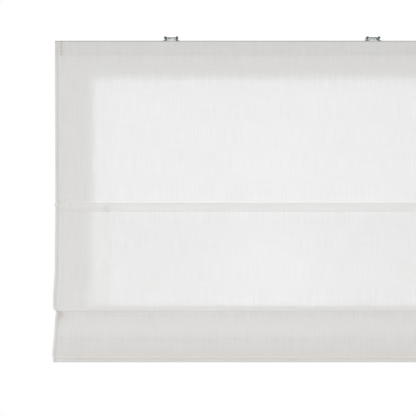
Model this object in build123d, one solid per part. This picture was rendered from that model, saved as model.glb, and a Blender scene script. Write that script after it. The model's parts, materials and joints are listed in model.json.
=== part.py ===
"""Roman blind, partly raised.

A headrail with a spring lift carries one folded sheet of cloth. Three battens in sewn pockets ride on
two lift cords, and a flat bar weights the bottom hem. The origin is midway between the two screw holes,
on the faces of the clips that meet the ceiling. X runs along the blind, the room is towards -Y and the
window towards +Y. Lengths are in millimetres.
"""

import os

from build123d import *

# Whole blind
WIDTH = 1000.0
CLOTH = 0.6
FIT = 0.3
SLIP = 0.1
OVERRUN = 1.0

# Mounting clips
CLIP_SPACING = 466.0
CLIP_WIDTH = 33.0
CLIP_DEPTH = 24.0
CLIP_RISE = 10.5
CLIP_STEEL = 1.5
CLIP_ROLL = 2.75
CLIP_FOOT = 2.5
GRIP_LENGTH = 22.0
GRIP_STEEL = 1.2
GRIP_REACH = 4.0
SCREW_HOLE = 4.5
DRIVER_HOLE = 9.0

# Headrail
RAIL_DEPTH = 34.0
RAIL_HEIGHT = 36.0
RAIL_WALL = 1.5
RAIL_LIP = 7.0
RAIL_BEND = 2.0
RAIL_SHOW = 0.8
CAP_PLATE = 2.0
CAP_SPIGOT = 14.0
CAP_WALL = 2.0
CAP_ROUND = 1.2
CORD_PORT = 6.0

# Hook and loop tapes on the front of the headrail
GRIP_TAPE = 1.2
GRIP_TAPE_HEIGHT = 22.0
GRIP_TAPE_DROP = 5.0
GRIP_TAPE_INSET = 16.0

# Cloth drops and folds
TOP_DROP = 372.2
POCKET_HEIGHT = 21.0
UPPER_SECTION = 237.5
LOWER_SECTION = 146.0
OPEN_DROP = 217.5
STACK_GAP = 50.0
POCKET_SETBACK = 8.0
CROWN_WIDTH = 3.2
CROWN_RISE = 2.0
FOOT_ROUND = 20.0
UPPER_FOLD_REACH = 9.0
UPPER_FOLD_LOOP = 4.0
UPPER_FOLD_UPRIGHT = 34.0
LOWER_FOLD_REACH = 6.5
LOWER_FOLD_LOOP = 3.0
LOWER_FOLD_UPRIGHT = 40.0
SWEEP_ROUND = 60.0
TURN_SHARE = 0.45
HEM_SHOW = 10.5
HEM_HEIGHT = 25.0

# Battens, pocket tapes and tips
ROD_RADIUS = 2.25
ROD_INSET = 4.0
ROD_DROP = 5.0
TIP_RADIUS = 3.0
TIP_LENGTH = 14.0
TIP_SHOW = 2.5
POCKET_TAPE = 0.5
POCKET_TAPE_INSET = 3.0
SEAM_MARGIN = 0.5
TAPE_CREASE = 0.3

# Cord rings, lift cords and their stops
CORD_INSET = 120.0
CORD_RADIUS = 0.7
CORD_SIDES = 6
RING_RADIUS = 7.5
RING_BORE = 5.0
RING_THICK = 2.4
RING_ROUND = 0.7
RING_FOOT_WIDTH = 10.0
RING_FOOT_HEIGHT = 8.0
RING_FOOT = 1.2
RING_MERGE = 0.6
RING_DROP = 13.8
STOP_RADIUS = 6.5
STOP_NECK = 3.2
STOP_HEIGHT = 12.0
STOP_SIDES = 8

# Lift shaft, spools, cradles and spring motor
SHAFT_SIZE = 5.0
SHAFT_OVERHANG = 30.0
SPOOL_BARREL = 5.5
SPOOL_FLANGE = 8.5
SPOOL_HUB = 4.3
SPOOL_LENGTH = 24.0
SPOOL_RIM = 2.0
HUB_LENGTH = 5.0
CRADLE_BASE = 2.0
CRADLE_WALL = 3.0
CRADLE_LENGTH = 40.0
CRADLE_ROUND = 6.0
MOTOR_LENGTH = 96.0
MOTOR_HEIGHT = 27.0
MOTOR_ROUND = 3.0
MOTOR_BORE = 4.2

# Bottom bar
BAR_HEIGHT = 18.0
BAR_THICK = 3.0
BAR_INSET = 6.0
BAR_ROUND = 0.8
BAR_LIFT = 1.8
BAR_CAP_WALL = 0.5
BAR_CAP_LENGTH = 20.0
BAR_CAP_SHOW = 4.0

# Levels and planes that follow from the sizes above
RAIL_TOP = -CLIP_RISE
RAIL_BOTTOM = RAIL_TOP - RAIL_HEIGHT
RAIL_FRONT = -RAIL_DEPTH / 2
RAIL_BACK = RAIL_DEPTH / 2
RAIL_LENGTH = WIDTH - 2 * CAP_PLATE
CLOTH_TOP = RAIL_TOP - RAIL_SHOW
CLOTH_Y = RAIL_FRONT - 2 * GRIP_TAPE
POCKET_Y = CLOTH_Y + POCKET_SETBACK
CROWN_Y = POCKET_Y - CROWN_WIDTH
POCKET_TOPS = [CLOTH_TOP - TOP_DROP]
POCKET_TOPS.append(POCKET_TOPS[0] - POCKET_HEIGHT - OPEN_DROP)
POCKET_TOPS.append(POCKET_TOPS[1] - POCKET_HEIGHT - STACK_GAP)
UPPER_FOLD = (POCKET_TOPS[0] - POCKET_HEIGHT + POCKET_TOPS[1] - UPPER_SECTION) / 2
LOWER_FOLD = (POCKET_TOPS[1] - POCKET_HEIGHT + POCKET_TOPS[2] - LOWER_SECTION) / 2
HEM_BOTTOM = LOWER_FOLD - HEM_SHOW
HEM_GAP = BAR_THICK + 2 * (BAR_CAP_WALL + FIT)
SLEEVE = TIP_RADIUS + FIT
SLEEVE_Y = POCKET_Y + SLIP
RING_FOOT_Y = SLEEVE_Y + POCKET_TAPE
CORD_X = WIDTH / 2 - CORD_INSET
CORD_Y = RING_FOOT_Y + RING_FOOT + RING_RADIUS - RING_MERGE
WRAP_RADIUS = SPOOL_BARREL + FIT + CORD_RADIUS
SHAFT_Y = CORD_Y + WRAP_RADIUS
SHAFT_Z = (RAIL_TOP + RAIL_BOTTOM) / 2
SIDES = {"left": -1, "right": 1}


def beside(points, radii, distance):
    """The corners and radii of a line that runs at a distance to the left of another filleted line."""
    runs = [(Vector(*b) - Vector(*a)).normalized() for a, b in zip(points, points[1:])]
    lefts = [Vector(-run.Y, run.X) for run in runs]
    corners = [Vector(*points[0]) + lefts[0] * distance]
    rounds = []
    for corner, radius, before, after in zip(points[1:], radii, lefts, lefts[1:]):
        corners.append(Vector(*corner) + (before + after) * (distance / (1 + before.dot(after))))
        turn = before.cross(after).Z
        rounds.append(max(0, radius - distance * (turn > 0) + distance * (turn < 0)) if radius else 0)
    corners.append(Vector(*points[-1]) + lefts[-1] * distance)
    return corners, rounds


def bent_sheet(points, radii, thickness, length):
    """A sheet along a filleted line in the YZ plane, thick to the left of the line, centred along X."""
    near = FilletPolyline(*points, radius=radii)
    corners, rounds = beside(points, radii, thickness)
    far = FilletPolyline(*corners, radius=rounds)
    ends = [Line(near @ 0, far @ 0), Line(near @ 1, far @ 1)]
    section = make_face([*near.edges(), *far.edges(), *ends])
    return extrude(Plane.YZ * section, length / 2, both=True)


def block(low, high):
    """A box between two opposite corners."""
    size = Vector(*high) - Vector(*low)
    middle = (Vector(*high) + Vector(*low)) / 2
    return Pos(middle) * Box(size.X, size.Y, size.Z)


def along_x(radius, length):
    """A round bar along X, centred on the origin."""
    return Rot(0, 90, 0) * Cylinder(radius, length)


def headrail_channel():
    """Roll-formed channel, open at the top between two lips, with a port for each cord in its floor."""
    points = [
        (RAIL_FRONT + RAIL_LIP, RAIL_TOP),
        (RAIL_FRONT, RAIL_TOP),
        (RAIL_FRONT, RAIL_BOTTOM),
        (RAIL_BACK, RAIL_BOTTOM),
        (RAIL_BACK, RAIL_TOP),
        (RAIL_BACK - RAIL_LIP, RAIL_TOP),
    ]
    channel = bent_sheet(points, [RAIL_BEND] * len(points[1:-1]), RAIL_WALL, RAIL_LENGTH)
    for side in SIDES.values():
        port = Cylinder(CORD_PORT / 2, 2 * RAIL_WALL + 2 * OVERRUN)
        channel -= Pos(side * CORD_X, CORD_Y, RAIL_BOTTOM) * port
    return channel


def end_cap(side):
    """Moulded end plate with a hollow spigot that plugs into the channel under its lips."""
    plate = Rectangle(RAIL_DEPTH, RAIL_HEIGHT)
    plate = fillet(plate.vertices(), RAIL_BEND)
    room = 2 * (RAIL_WALL + SLIP)
    outer = Rectangle(RAIL_DEPTH - room, RAIL_HEIGHT - room)
    outer = fillet(outer.vertices(), CAP_ROUND)
    inner = offset(outer, -CAP_WALL)
    cap = extrude(plate, CAP_PLATE)
    cap = chamfer(cap.faces().sort_by(Axis.Z)[-1].edges(), CAP_ROUND)
    cap += extrude(outer - inner, -CAP_SPIGOT)
    place = Plane((side * RAIL_LENGTH / 2, 0, SHAFT_Z), x_dir=(0, side, 0), z_dir=(side, 0, 0))
    return place * cap


def mounting_clip(side):
    """Bent steel clip: a plate with curled ends on two legs and a web, and a grip under the rail's lips."""
    roll_x = CLIP_WIDTH / 2 - CLIP_ROLL
    leg_height = CLIP_RISE - CLIP_ROLL
    loop = Pos(0, -CLIP_STEEL / 2) * Rectangle(2 * roll_x, CLIP_STEEL)
    loop += Pos(0, CLIP_STEEL / 2 - CLIP_RISE) * Rectangle(CLIP_WIDTH + 2 * CLIP_FOOT, CLIP_STEEL)
    for end in SIDES.values():
        loop += Pos(end * roll_x, leg_height / 2 - CLIP_RISE) * Rectangle(CLIP_STEEL, leg_height)
        loop += Pos(end * roll_x, -CLIP_ROLL) * Circle(CLIP_ROLL)
    clip = extrude(Plane.XZ * loop, CLIP_DEPTH / 2, both=True)
    clip += block((-roll_x, CLIP_DEPTH / 2 - CLIP_STEEL, RAIL_TOP), (roll_x, CLIP_DEPTH / 2, 0))
    half_slot = RAIL_DEPTH / 2 - RAIL_LIP - FIT
    under_lip = RAIL_TOP - RAIL_WALL - FIT
    points = [
        (-half_slot - GRIP_REACH, under_lip),
        (-half_slot + GRIP_STEEL, under_lip),
        (-half_slot + GRIP_STEEL, RAIL_TOP),
        (half_slot - GRIP_STEEL, RAIL_TOP),
        (half_slot - GRIP_STEEL, under_lip),
        (half_slot + GRIP_REACH, under_lip),
    ]
    clip += bent_sheet(points, [0] * len(points[1:-1]), -GRIP_STEEL, GRIP_LENGTH)
    clip -= Cylinder(SCREW_HOLE / 2, 2 * CLIP_STEEL + 2 * OVERRUN)
    driver_hole = Cylinder(DRIVER_HOLE / 2, 2 * (CLIP_STEEL + GRIP_STEEL) + 2 * OVERRUN)
    clip -= Pos(0, 0, RAIL_TOP) * driver_hole
    return Pos(side * CLIP_SPACING / 2, 0, 0) * clip


def grip_tape(layer):
    """One of the two woven strips between headrail and cloth: layer 0 on the rail, layer 1 on the cloth."""
    half = WIDTH / 2 - GRIP_TAPE_INSET
    top = RAIL_TOP - GRIP_TAPE_DROP
    near = RAIL_FRONT - layer * GRIP_TAPE
    return block((-half, near - GRIP_TAPE, top - GRIP_TAPE_HEIGHT), (half, near, top))


def face_fabric():
    """The whole cloth as one folded sheet, from the headrail to the hem; its line is the cloth's back."""
    points = [(CLOTH_Y, CLOTH_TOP)]
    radii = []

    def bend(y, z, radius):
        points.append((y, z))
        radii.append(radius)

    def turn(front, back, level):
        for y in (front, back):
            bend(y, level, TURN_SHARE * abs(back - front))

    def fold(pocket_top, next_top, level, reach, loop, upright):
        """From the foot of one pocket, forward and down to a fold, then up behind it over the next pocket."""
        front = POCKET_Y - reach
        bend(POCKET_Y, pocket_top - POCKET_HEIGHT, FOOT_ROUND)
        bend(front, level + upright, SWEEP_ROUND)
        turn(front, front + loop, level)
        turn(CROWN_Y, POCKET_Y, next_top + CROWN_RISE)

    bend(CLOTH_Y, RAIL_BOTTOM, SWEEP_ROUND)
    bend(POCKET_Y, POCKET_TOPS[0], SWEEP_ROUND)
    upper = [UPPER_FOLD_REACH, UPPER_FOLD_LOOP, UPPER_FOLD_UPRIGHT]
    lower = [LOWER_FOLD_REACH, LOWER_FOLD_LOOP, LOWER_FOLD_UPRIGHT]
    fold(*POCKET_TOPS[:2], UPPER_FOLD, *upper)
    fold(*POCKET_TOPS[1:], LOWER_FOLD, *lower)
    turn(POCKET_Y, POCKET_Y + HEM_GAP, HEM_BOTTOM + CLOTH)
    points.append((POCKET_Y + HEM_GAP, HEM_BOTTOM + HEM_HEIGHT))
    return bent_sheet(points, radii, -CLOTH, WIDTH)


def pocket_tape(top):
    """Tape sewn behind the cloth at its two edges, with a sleeve for the batten between them."""
    rod = top - ROD_DROP
    points = [
        (SLEEVE_Y, top - SEAM_MARGIN),
        (SLEEVE_Y, rod + SLEEVE),
        (SLEEVE_Y + 2 * SLEEVE, rod + SLEEVE),
        (SLEEVE_Y + 2 * SLEEVE, rod - SLEEVE),
        (SLEEVE_Y, rod - SLEEVE),
        (SLEEVE_Y, top - POCKET_HEIGHT + SEAM_MARGIN),
    ]
    crease = POCKET_TAPE + TAPE_CREASE
    round_back = 2 * TURN_SHARE * SLEEVE
    radii = [crease, round_back, round_back, crease]
    return bent_sheet(points, radii, POCKET_TAPE, WIDTH - 2 * POCKET_TAPE_INSET)


def batten(top):
    """Round batten rod."""
    return Pos(0, SLEEVE_Y + SLEEVE, top - ROD_DROP) * along_x(ROD_RADIUS, WIDTH - 2 * ROD_INSET)


def batten_tip(top, side):
    """Moulded tip pushed over the end of a batten rod."""
    tip = Cylinder(TIP_RADIUS, TIP_LENGTH)
    reach = ROD_INSET + TIP_SHOW
    bore = Cylinder(ROD_RADIUS + SLIP, TIP_LENGTH)
    tip -= Pos(0, 0, -reach + SLIP) * bore
    end = WIDTH / 2 + TIP_SHOW - TIP_LENGTH / 2
    return Pos(side * end, SLEEVE_Y + SLEEVE, top - ROD_DROP) * Rot(0, side * 90, 0) * tip


def cord_ring(top, side):
    """Ring that guides a lift cord, with a foot sewn to the lower part of a pocket tape."""
    ring = Cylinder(RING_RADIUS, RING_THICK) - Cylinder(RING_BORE, RING_THICK + OVERRUN)
    ring = Pos(side * CORD_X, CORD_Y, top - RING_DROP) * ring
    foot = chamfer(Rectangle(RING_FOOT_WIDTH, RING_FOOT_HEIGHT).vertices(), RING_ROUND)
    place = Plane((side * CORD_X, RING_FOOT_Y, top - RING_DROP), x_dir=(-1, 0, 0), z_dir=(0, 1, 0))
    return ring + place * extrude(foot, RING_FOOT)


def lift_cord(side):
    """Cord from the stop under the lowest ring, up through the rings, and over its spool."""
    low = POCKET_TOPS[2] - RING_DROP - RING_THICK / 2 - STOP_HEIGHT
    start = (side * CORD_X, CORD_Y, low)
    top = (side * CORD_X, CORD_Y, SHAFT_Z)
    over = (side * CORD_X, SHAFT_Y, SHAFT_Z + WRAP_RADIUS)
    end = (side * CORD_X, SHAFT_Y + WRAP_RADIUS, SHAFT_Z)
    route = Wire([Edge.make_line(start, top), Edge.make_three_point_arc(top, over, end)])
    section = RegularPolygon(CORD_RADIUS, CORD_SIDES)
    return sweep(Plane(start, z_dir=(0, 0, 1)) * section, path=route)


def cord_stop(side):
    """Eight-sided tapered bead that the lift cord is tied in, under the lowest ring."""
    foot = Pos(0, 0, -STOP_HEIGHT) * RegularPolygon(STOP_RADIUS, STOP_SIDES)
    bead = loft([RegularPolygon(STOP_NECK, STOP_SIDES), foot])
    bead -= Cylinder(CORD_RADIUS + SLIP, 2 * STOP_HEIGHT + OVERRUN)
    return Pos(side * CORD_X, CORD_Y, POCKET_TOPS[2] - RING_DROP - RING_THICK / 2) * bead


def lift_shaft():
    """Square shaft that turns both spools together."""
    bar = Rectangle(SHAFT_SIZE, SHAFT_SIZE)
    shaft = extrude(Plane.YZ * bar, CORD_X + SHAFT_OVERHANG, both=True)
    return Pos(0, SHAFT_Y, SHAFT_Z) * shaft


def spool(side):
    """Flanged spool with a hub at each end and a square bore for the shaft."""
    half = SPOOL_LENGTH / 2
    outline = [
        (half - SPOOL_RIM, SPOOL_BARREL),
        (half - SPOOL_RIM, SPOOL_FLANGE),
        (half, SPOOL_FLANGE),
        (half, SPOOL_HUB),
        (half + HUB_LENGTH, SPOOL_HUB),
        (half + HUB_LENGTH, 0),
    ]
    mirrored = [(-along, radius) for along, radius in reversed(outline)]
    part = revolve(make_face(Polyline(*mirrored, *outline, close=True)), Axis.X)
    bore = Rectangle(SHAFT_SIZE + 2 * SLIP, SHAFT_SIZE + 2 * SLIP)
    part -= extrude(Plane.YZ * bore, half + HUB_LENGTH + OVERRUN, both=True)
    return Pos(side * CORD_X, SHAFT_Y, SHAFT_Z) * part


def cradle(side):
    """Moulded seat for a spool: two walls with open bearings on a base with a port for the cord."""
    floor = RAIL_BOTTOM + RAIL_WALL
    half_depth = RAIL_DEPTH / 2 - RAIL_BEND - SLIP
    wall_height = SHAFT_Z + SPOOL_HUB - floor
    wall = Pos(0, wall_height / 2) * Rectangle(2 * half_depth, wall_height)
    wall = fillet(wall.vertices().group_by(Axis.Y)[-1], CRADLE_ROUND)
    seat = Pos(SHAFT_Y, SHAFT_Z - floor) * Circle(SPOOL_HUB + SLIP)
    mouth = Pos(SHAFT_Y, SHAFT_Z - floor + SPOOL_HUB) * Rectangle(2 * SPOOL_HUB, 2 * SPOOL_HUB)
    wall = wall - seat - mouth
    body = block((-CRADLE_LENGTH / 2, -half_depth, 0), (CRADLE_LENGTH / 2, half_depth, CRADLE_BASE))
    for end in SIDES.values():
        near = end * (SPOOL_LENGTH / 2 + FIT)
        body += Pos(near, 0, 0) * extrude(Plane.YZ * wall, end * CRADLE_WALL)
    body -= Pos(0, CORD_Y, 0) * Cylinder(CORD_PORT / 2, 2 * CRADLE_BASE + 2 * OVERRUN)
    return Pos(side * CORD_X, 0, floor) * body


def spring_motor():
    """Closed case of the spring that balances the blind, with the shaft running through it."""
    depth = RAIL_DEPTH - 2 * (RAIL_WALL + FIT)
    case = Box(MOTOR_LENGTH, depth, MOTOR_HEIGHT)
    case = fillet(case.edges().filter_by(Axis.X), MOTOR_ROUND)
    case = Pos(0, 0, RAIL_BOTTOM + RAIL_WALL + MOTOR_HEIGHT / 2) * case
    return case - Pos(0, SHAFT_Y, SHAFT_Z) * along_x(MOTOR_BORE, MOTOR_LENGTH + OVERRUN)


def bottom_bar():
    """Flat bar in the bottom hem."""
    bar = fillet(Rectangle(BAR_THICK, BAR_HEIGHT).vertices(), BAR_ROUND)
    bar = extrude(Plane.YZ * bar, WIDTH / 2 - BAR_INSET, both=True)
    return Pos(0, POCKET_Y + HEM_GAP / 2, bar_middle()) * bar


def bar_cap(side):
    """Moulded cap over an end of the bottom bar."""
    outer = Rectangle(BAR_THICK + 2 * BAR_CAP_WALL, BAR_HEIGHT + 2 * BAR_CAP_WALL)
    outer = fillet(outer.vertices(), BAR_ROUND)
    bore = fillet(Rectangle(BAR_THICK + SLIP, BAR_HEIGHT + SLIP).vertices(), BAR_ROUND)
    cap = extrude(outer, -BAR_CAP_LENGTH)
    cap -= Pos(0, 0, -BAR_INSET - BAR_CAP_SHOW) * extrude(bore, -BAR_CAP_LENGTH)
    end = WIDTH / 2 + BAR_CAP_SHOW
    middle = (side * end, POCKET_Y + HEM_GAP / 2, bar_middle())
    return Plane(middle, x_dir=(0, side, 0), z_dir=(side, 0, 0)) * cap


def bar_middle():
    """Height of the middle of the bottom bar."""
    return HEM_BOTTOM + CLOTH + BAR_LIFT + BAR_HEIGHT / 2


def all_parts():
    """Every node of the blind by name."""
    parts = {
        "headrail_channel": headrail_channel(),
        "hook_tape": grip_tape(0),
        "loop_tape": grip_tape(1),
        "lift_shaft": lift_shaft(),
        "spring_motor": spring_motor(),
        "face_fabric": face_fabric(),
        "bottom_bar": bottom_bar(),
    }
    for name, side in SIDES.items():
        parts[f"end_cap_{name}"] = end_cap(side)
        parts[f"mounting_clip_{name}"] = mounting_clip(side)
        parts[f"spool_{name}"] = spool(side)
        parts[f"cradle_{name}"] = cradle(side)
        parts[f"lift_cord_{name}"] = lift_cord(side)
        parts[f"cord_stop_{name}"] = cord_stop(side)
        parts[f"bar_cap_{name}"] = bar_cap(side)
    for number, top in enumerate(POCKET_TOPS, start=1):
        parts[f"batten_{number}"] = batten(top)
        parts[f"pocket_tape_{number}"] = pocket_tape(top)
        for name, side in SIDES.items():
            parts[f"batten_{number}_tip_{name}"] = batten_tip(top, side)
            parts[f"cord_ring_{number}_{name}"] = cord_ring(top, side)
    return parts


os.makedirs("parts", exist_ok=True)
for node, shape in all_parts().items():
    export_step(shape, f"parts/{node}.step")
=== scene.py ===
"""Looks of a roman blind: woven cloth, stitching, lift cords, finishes, light and camera.

Lengths are in metres, in the part's own frame: X along the blind, the room towards -Y, the window towards +Y.
"""

import json
import math

import bpy
import numpy as np
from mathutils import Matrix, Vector


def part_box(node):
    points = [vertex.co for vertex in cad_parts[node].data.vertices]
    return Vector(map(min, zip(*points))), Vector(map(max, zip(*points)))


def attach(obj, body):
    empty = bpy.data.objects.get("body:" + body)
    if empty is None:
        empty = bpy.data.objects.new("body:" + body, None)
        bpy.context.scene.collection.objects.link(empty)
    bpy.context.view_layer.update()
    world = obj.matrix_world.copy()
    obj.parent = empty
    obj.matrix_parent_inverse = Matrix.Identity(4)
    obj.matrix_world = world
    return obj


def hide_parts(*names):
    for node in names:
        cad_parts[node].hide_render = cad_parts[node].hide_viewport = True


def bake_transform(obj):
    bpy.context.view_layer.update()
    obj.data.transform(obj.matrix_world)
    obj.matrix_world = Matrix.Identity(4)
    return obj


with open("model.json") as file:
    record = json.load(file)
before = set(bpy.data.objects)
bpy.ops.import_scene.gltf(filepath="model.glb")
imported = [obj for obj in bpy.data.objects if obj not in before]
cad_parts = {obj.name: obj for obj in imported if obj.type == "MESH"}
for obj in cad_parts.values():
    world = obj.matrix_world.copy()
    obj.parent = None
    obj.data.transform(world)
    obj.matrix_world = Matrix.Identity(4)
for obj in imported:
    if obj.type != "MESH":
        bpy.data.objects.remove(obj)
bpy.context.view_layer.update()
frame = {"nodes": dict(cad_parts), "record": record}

MM = 0.001

# Camera: straight on, with the photograph's frame laid on the plane of the cloth
FRAME_PIXELS = 416
PIXEL_SIZE = 2.2995 * MM
VIEW_X = -148.0 * MM
VIEW_Z = -395.6 * MM
VIEW_PLANE_Y = -20.0 * MM
VIEW_DISTANCE = 3.0
SENSOR = 36.0

# Room light, daylight and floor
ROOM_PLACE = (-0.2, -3.4, -0.75)
ROOM_TARGET = (0.0, 0.0, -0.45)
ROOM_SIZE = (3.4, 2.4)
FRONT_POWER = 102.5
WORLD_LIGHT = 0.36
WINDOW_Y = 20.0 * MM
WINDOW_SPREAD = math.radians(60)
WINDOW_GLOW = 2.85
WINDOW_TINT = (0.89, 0.93, 1.02)
FLOOR_Z = -1.1
FLOOR_RADIUS = 1.3
FLOOR_CLEAR_RADIUS = 0.6
FLOOR_SIDES = 96
FLOOR_GLOW = 0.42

# Panes of daylight: name, half width, top, bottom and share of the glow
PANES = [
    ("upper_pane", 413.0 * MM, -96.0 * MM, -400.0 * MM, 0.68),
    ("upper_pane_middle", 360.0 * MM, -142.0 * MM, -400.0 * MM, 0.39),
    ("lower_pane", 418.0 * MM, -400.0 * MM, -622.0 * MM, 0.48),
    ("lower_pane_middle", 360.0 * MM, -400.0 * MM, -622.0 * MM, 0.65),
]

# Cloth line, as in the solid that the cloth replaces
CLOTH = 0.6 * MM
SEAM_MARGIN = 0.5 * MM
CLOTH_GAP = 2.4 * MM
POCKET_SETBACK = 8.0 * MM
CROWN_WIDTH = 3.2 * MM
CROWN_RISE = 2.0 * MM
FOOT_ROUND = 20.0 * MM
SWEEP_ROUND = 60.0 * MM
TURN_SHARE = 0.45
UPPER_FOLD = {"level": -632.0 * MM, "reach": 9.0 * MM, "loop": 4.0 * MM, "upright": 34.0 * MM}
LOWER_FOLD = {"level": -741.0 * MM, "reach": 6.5 * MM, "loop": 3.0 * MM, "upright": 40.0 * MM}
HEM_GAP = 4.6 * MM
HEM_HEIGHT = 25.0 * MM

# Grid of the cloth: rows along its line, and columns that lie closer at the side edges
ROW_PITCH = 3.0 * MM
LEAST_ROW_PITCH = 0.15 * MM
ROW_DECIMALS = 6
SEAM_ROW_SHARES = (-1.5, -0.75, 0, 0.75, 1.5)
ARC_STEP = math.radians(12)
SHARP_ANGLE = math.radians(60)
COLUMN_PITCH = 4.4 * MM
EDGE_STEPS = [0.0, 0.5, 1.5, 3.0, 4.6, 5.3, 6.0, 6.7, 7.4, 9.0]
EDGE_STEPS += [11.0, 13.5, 15.0, 16.5, 18.3, 19.0, 19.7, 21.5, 24.0]
EDGE_COLUMNS = [step * MM for step in EDGE_STEPS]

# Sewing
SIDE_HEM = 19.0 * MM
SIDE_HEM_STEP = 0.4 * MM
SIDE_SEAM = 6.0 * MM
BOTTOM_SEAM_INSET = 3.0 * MM
GROOVE_DEPTH = 0.25 * MM
GROOVE_WIDTH = 1.2 * MM
BACK_CLEAR = 0.1 * MM
NORMAL_STEP = 0.3 * MM
STITCH = 2.6 * MM
STITCH_GAP = 1.0 * MM
POCKET_TOP_STITCH_DROP = 1.0 * MM
POCKET_FOOT_STITCH_RISE = 1.5 * MM

# Threads: radius, sides, how they lie on the cloth, and shares of their length with shares of their radius
THREAD = 0.22 * MM
THREAD_SIDES = 6
THREAD_LIFT = 0.05 * MM
THREAD_SINK_SHARE = 0.6
THREAD_STATION_SHARES = [(0.0, 0.35), (0.2, 1.0), (0.8, 1.0), (1.0, 0.35)]

# Stitches at the ends of the header, and tacks that hold the cord rings
TACK_INSET = 15.0 * MM
TACK_START = 1.5 * MM
TACK_ROW_GAP = 1.5 * MM
TACK_STITCH = 5.7 * MM
TACK_GAP = 2.3 * MM
TACK_THREADS = 8
TACK_PITCH = 0.42 * MM
TACK_LENGTH = 3.4 * MM

# Lift cords
CORD_RADIUS = 0.7 * MM
CORD_SIDES = 10
CORD_POINTS = 12
RING_DROP = 13.8 * MM
WRAP_RADIUS = 6.5 * MM
WRAP_TURNS = 6
WRAP_PITCH = 1.6 * MM
WRAP_STEPS = 16
STEEP = 0.8
STEEP_ASIDE = Vector((0, 1, 0))
FLAT_ASIDE = Vector((0, 0.6, 0.8))

# Stand of the side edges on the four faces of the folds, from the top, in millimetres: its start, its spread
# below the upper fold, and steps as an amount, the level where it begins and the level where it is full
FLARES = [
    (0.0, 0.0, [(0.6, -420.0, -500.0), (3.6, -530.0, -605.0), (-5.0, -625.0, -632.5)]),
    (-0.7, 0.0, []),
    (-0.6, 7.3, [(-3.6, -733.0, -742.0)]),
    (-1.0, 0.0, [(6.4, -700.0, -741.0)]),
]
SPREAD_DROP = 100.0 * MM
SPREAD_POWER = 1.25
FLARE_BEGIN = 20.0 * MM
FLARE_POWER = 9

# Waves of the hanging cloth: rates in radians for each metre, and phases; the skew ones with their shares
WAVE_HEIGHT = 0.55 * MM
WAVE_ACROSS = (21.0, 0.7)
WAVE_ALONG = (11.0, 0.4)
SKEW_WAVES = [(0.6, 47.0, 9.0, 1.9), (0.35, 93.0, -17.0, 0.3)]

# Puckers at the upper pocket, in millimetres: depth, place in from the side edge and down from the pocket's
# top, width and height
PUCKERS = MM * np.array(
    [
        (-1.5, 10.5, -1.5, 3.5, 3.5),
        (0.5, 15.5, 1.5, 3.5, 5.0),
        (-0.8, 20.5, -3.0, 3.5, 4.5),
        (0.6, 26.0, 2.0, 4.0, 5.0),
        (-0.9, 32.0, 4.0, 5.0, 5.5),
        (0.4, 42.0, 3.0, 7.0, 7.0),
        (-0.5, 7.0, 15.0, 4.0, 6.0),
        (-0.5, 120.0, 13.0, 7.0, 5.0),
    ]
)

# What each painted shade takes from red, green and blue, a pucker's for each millimetre of its depth; where
# it is negative, it adds painted light
PAINTED_SHADES = {
    # painted shade along the top edge of the cloth
    "top": (0.5, 0.5, 0.5),
    # painted shade along the header's end stitches
    "tack": (0.055, 0.09, 0.12),
    # painted shade along the side seam, and at the inner edge of the side hem
    "seam": (0.115, 0.115, 0.13),
    "hem": (0.015, 0.02, 0.01),
    # painted light: the side edges of the lower fold lighter and bluer
    "rim": (-0.055, -0.06, -0.08),
    # painted shade in the nook under the upper fold's corner, with a tail down the side
    "nook_shade": (0.22, 0.26, 0.33),
    # painted shade under the upper fold
    "under": (0.026, 0.027, 0.028),
    # painted shade on the roll at the lower fold's bottom, and on the flap
    "roll": (0.015, 0.05, 0.08),
    # painted light over the top of the upper pocket
    "pocket": (-0.06, -0.06, -0.06),
    # painted light along the bottoms of the folds
    "painted_fold_light": (-0.03, -0.03, -0.03),
    # painted shade at the ends of the flap
    "flap_end_shade": (0.055, 0.035, -0.01),
    # painted shade in the puckers' hollows, painted light on their crests
    "pucker": (0.11, 0.11, 0.105),
}

# Where the painted shades and painted lights lie: a pair is where one begins and where it is full, along the
# cloth, in from a side edge or as levels
TOP_SHADE = (1.6 * MM, 0.6 * MM)
TACK_SHADE_WIDTH = 2.2 * MM
TACK_SHADE_END = 3.0 * MM
SEAM_SHADE_WIDTH = 2.3 * MM
SEAM_SHADE_END = 6.0 * MM
SEAM_HEADER_SHARE = 0.35
HEM_SHADE_WIDTH = 1.0 * MM
RIM_PAINTED_LIGHT = (5.0 * MM, 2.0 * MM)
NOOK_INSET = 12.0 * MM
NOOK_WIDTH = 6.0 * MM
NOOK_LEVEL = -640.0 * MM
NOOK_HEIGHT = 9.0 * MM
NOOK_TAIL_SHARE = 0.4
NOOK_TAIL_INSET = 9.0 * MM
NOOK_TAIL_WIDTH = 4.0 * MM
NOOK_TAIL_TOP = (-641.0 * MM, -650.0 * MM)
NOOK_TAIL_FOOT = (-682.0 * MM, -654.0 * MM)
UNDER_SHADE = (-672.0 * MM, -640.0 * MM)
ROLL_SHADE = (-714.0 * MM, -736.0 * MM)
ROLL_FLAP_SHARE = 0.4
ROLL_INWARD = (20.0 * MM, 60.0 * MM)
ROLL_EDGE_SHARE = 0.3
POCKET_LIGHT_DROP = 3.0 * MM
POCKET_LIGHT_WIDTH = 5.0 * MM
CAP_SHADE = (8.0 * MM, 5.0 * MM)

# Painted light along the bottoms of the folds: number of the fold, place along the cloth from it, width and
# share
PAINTED_FOLD_LIGHTS = [(0, -4.0 * MM, 6.0 * MM, 1.0), (0, 0.0, 2.0 * MM, 1.0), (1, 0.0, 3.0 * MM, 3.5)]

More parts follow.
